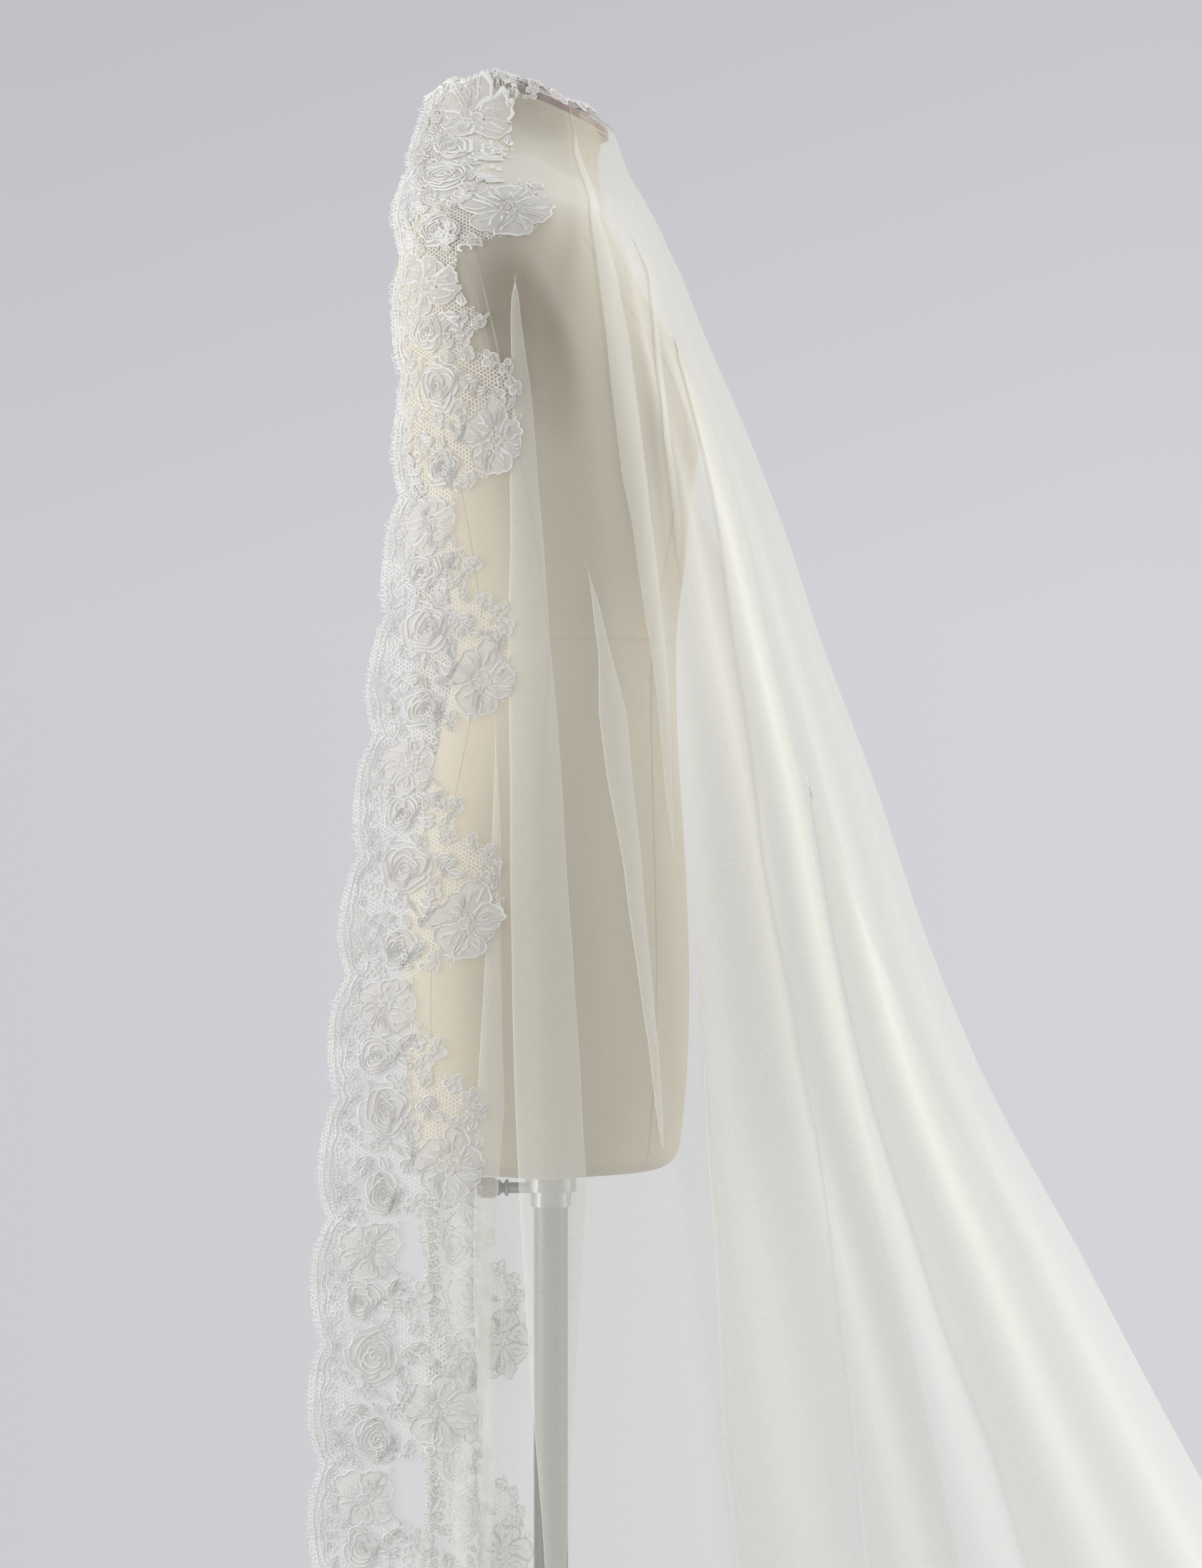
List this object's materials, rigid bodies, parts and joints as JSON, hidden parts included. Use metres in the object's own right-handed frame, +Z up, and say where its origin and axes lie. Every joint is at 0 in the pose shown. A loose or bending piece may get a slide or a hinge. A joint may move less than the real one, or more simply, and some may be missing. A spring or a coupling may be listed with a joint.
{
  "type": "bridal veil on a dress form",
  "caption": "Long sheer tulle bridal veil with a scalloped lace border, laid over the neck of a limbless dress form on a round-based stand.",
  "frame": {"origin": "centre of the stand base's underside, on the floor", "axes": "+Z up along the column, +X to the form's front, where the train falls, +Y to the form's left side"},
  "size_m": [1.7084, 0.9899, 1.5736],
  "materials": {
    "form_linen": "matt cream linen cover",
    "cap_wood": "satin brown varnish",
    "stand_metal": "dark satin",
    "veil_tulle": "sheer soft ivory tulle",
    "veil_lace": "corded ivory lace on a fine net"
  },
  "bodies": {
    "stand": {"torso": "form_linen", "neck_cap": "cap_wood", "collar": "stand_metal", "column": "stand_metal", "base": "stand_metal", "tulle_near_side": "veil_tulle", "tulle_far_side": "veil_tulle", "tulle_train": "veil_tulle", "lace_crown": "veil_lace", "lace_near_side": "veil_lace", "lace_far_side": "veil_lace"},
    "clamp": {"clamp_screw": "stand_metal", "clamp_knob": "cap_wood"}
  },
  "joints": [
    {"name": "clamp_turn", "type": "hinge", "parent": "stand", "child": "clamp", "pos_m": [-0.03, 0, 0.6775], "axis": [1, 0, 0], "range_deg": [-180, 0]}
  ]
}
